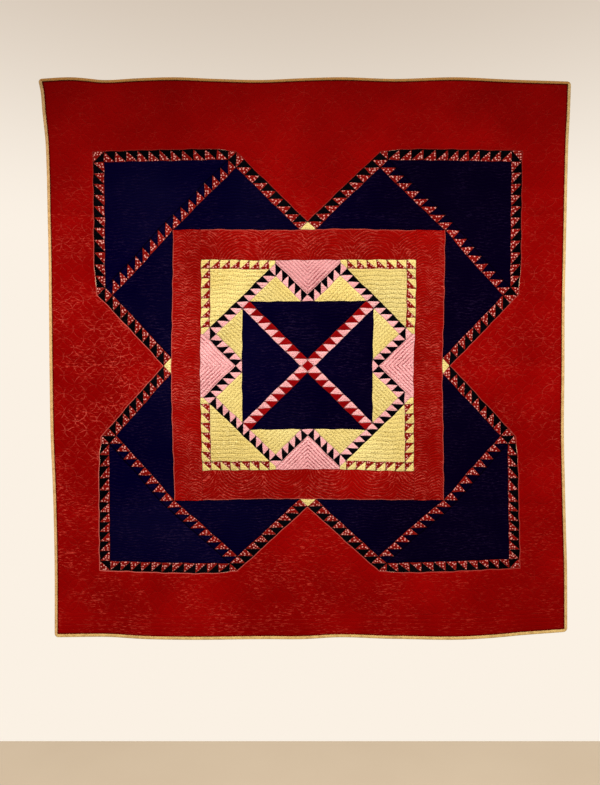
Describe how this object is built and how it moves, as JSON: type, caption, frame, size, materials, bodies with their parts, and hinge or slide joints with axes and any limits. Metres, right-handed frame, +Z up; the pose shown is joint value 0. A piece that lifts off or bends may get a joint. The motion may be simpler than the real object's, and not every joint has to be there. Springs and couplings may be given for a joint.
{
  "type": "pieced medallion quilt",
  "caption": "Nearly square pieced and quilted cotton cover with a plain wide border and a narrow bound edge, hung flat by its top edge so that the hem lifts off the wall in slow waves.",
  "frame": {"origin": "middle of the top edge, on the plane of the wall that the quilt hangs against", "axes": "+Z up, +X to the right seen from the pieced side, -Y out of the pieced side"},
  "size_m": [1.9955, 0.0338, 2.1217],
  "materials": {
    "pieced_cotton": "matt woven cotton, quilted",
    "binding_cotton": "matt woven cotton, folded"
  },
  "bodies": {
    "root": {"quilted_sheet": "pieced_cotton", "binding_top": "binding_cotton", "binding_bottom": "binding_cotton", "binding_left": "binding_cotton", "binding_right": "binding_cotton"}
  },
  "joints": []
}
